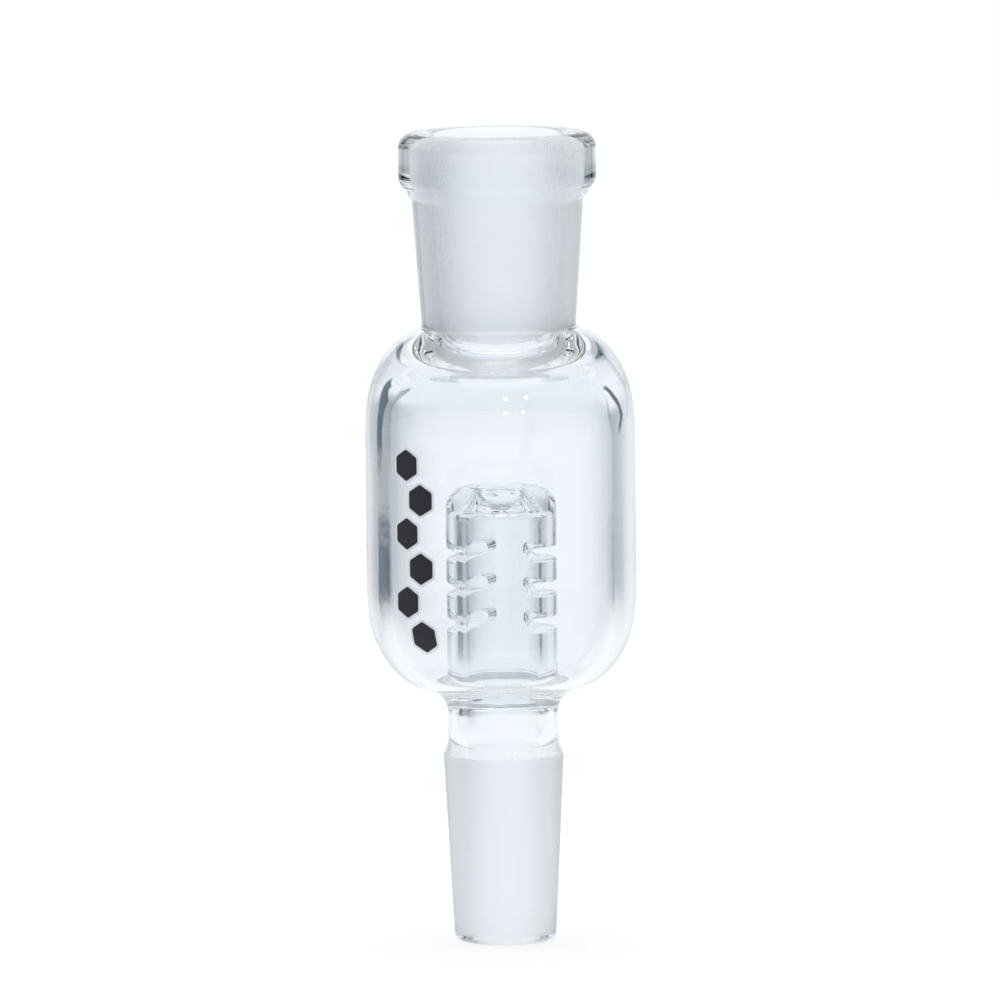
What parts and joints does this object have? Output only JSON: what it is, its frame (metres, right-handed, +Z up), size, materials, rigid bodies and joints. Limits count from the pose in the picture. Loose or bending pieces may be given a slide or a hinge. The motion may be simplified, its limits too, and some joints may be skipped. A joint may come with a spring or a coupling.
{
  "type": "anti-splash vapour trap",
  "caption": "Clear glass anti-splash trap: ground cone below, round chamber with a slotted diffuser tube inside, collared ground socket on top.",
  "frame": {"origin": "centre of the ground cone's tip, the lowest point of the part", "axes": "+Z up along the axis of both joints, from the cone to the socket; -Y is the front, with the printed mark left of it"},
  "size_m": [0.0324, 0.0324, 0.0975],
  "materials": {
    "clear_glass": "flame-polished clear borosilicate glass",
    "ground_glass": "finely ground, matt and translucent",
    "white_enamel": "thin fired enamel, satin",
    "black_enamel": "thin fired enamel, satin"
  },
  "bodies": {
    "root": {"socket_collar": "clear_glass", "ground_socket": "ground_glass", "socket_throat": "clear_glass", "chamber_shoulder": "clear_glass", "chamber_wall": "clear_glass", "chamber_base": "clear_glass", "ring_seal": "clear_glass", "diffuser_tube": "clear_glass", "diffuser_cap": "clear_glass", "cone_neck": "clear_glass", "ground_cone": "ground_glass", "mark_underlay": "white_enamel", "mark_motif": "black_enamel"}
  },
  "joints": []
}
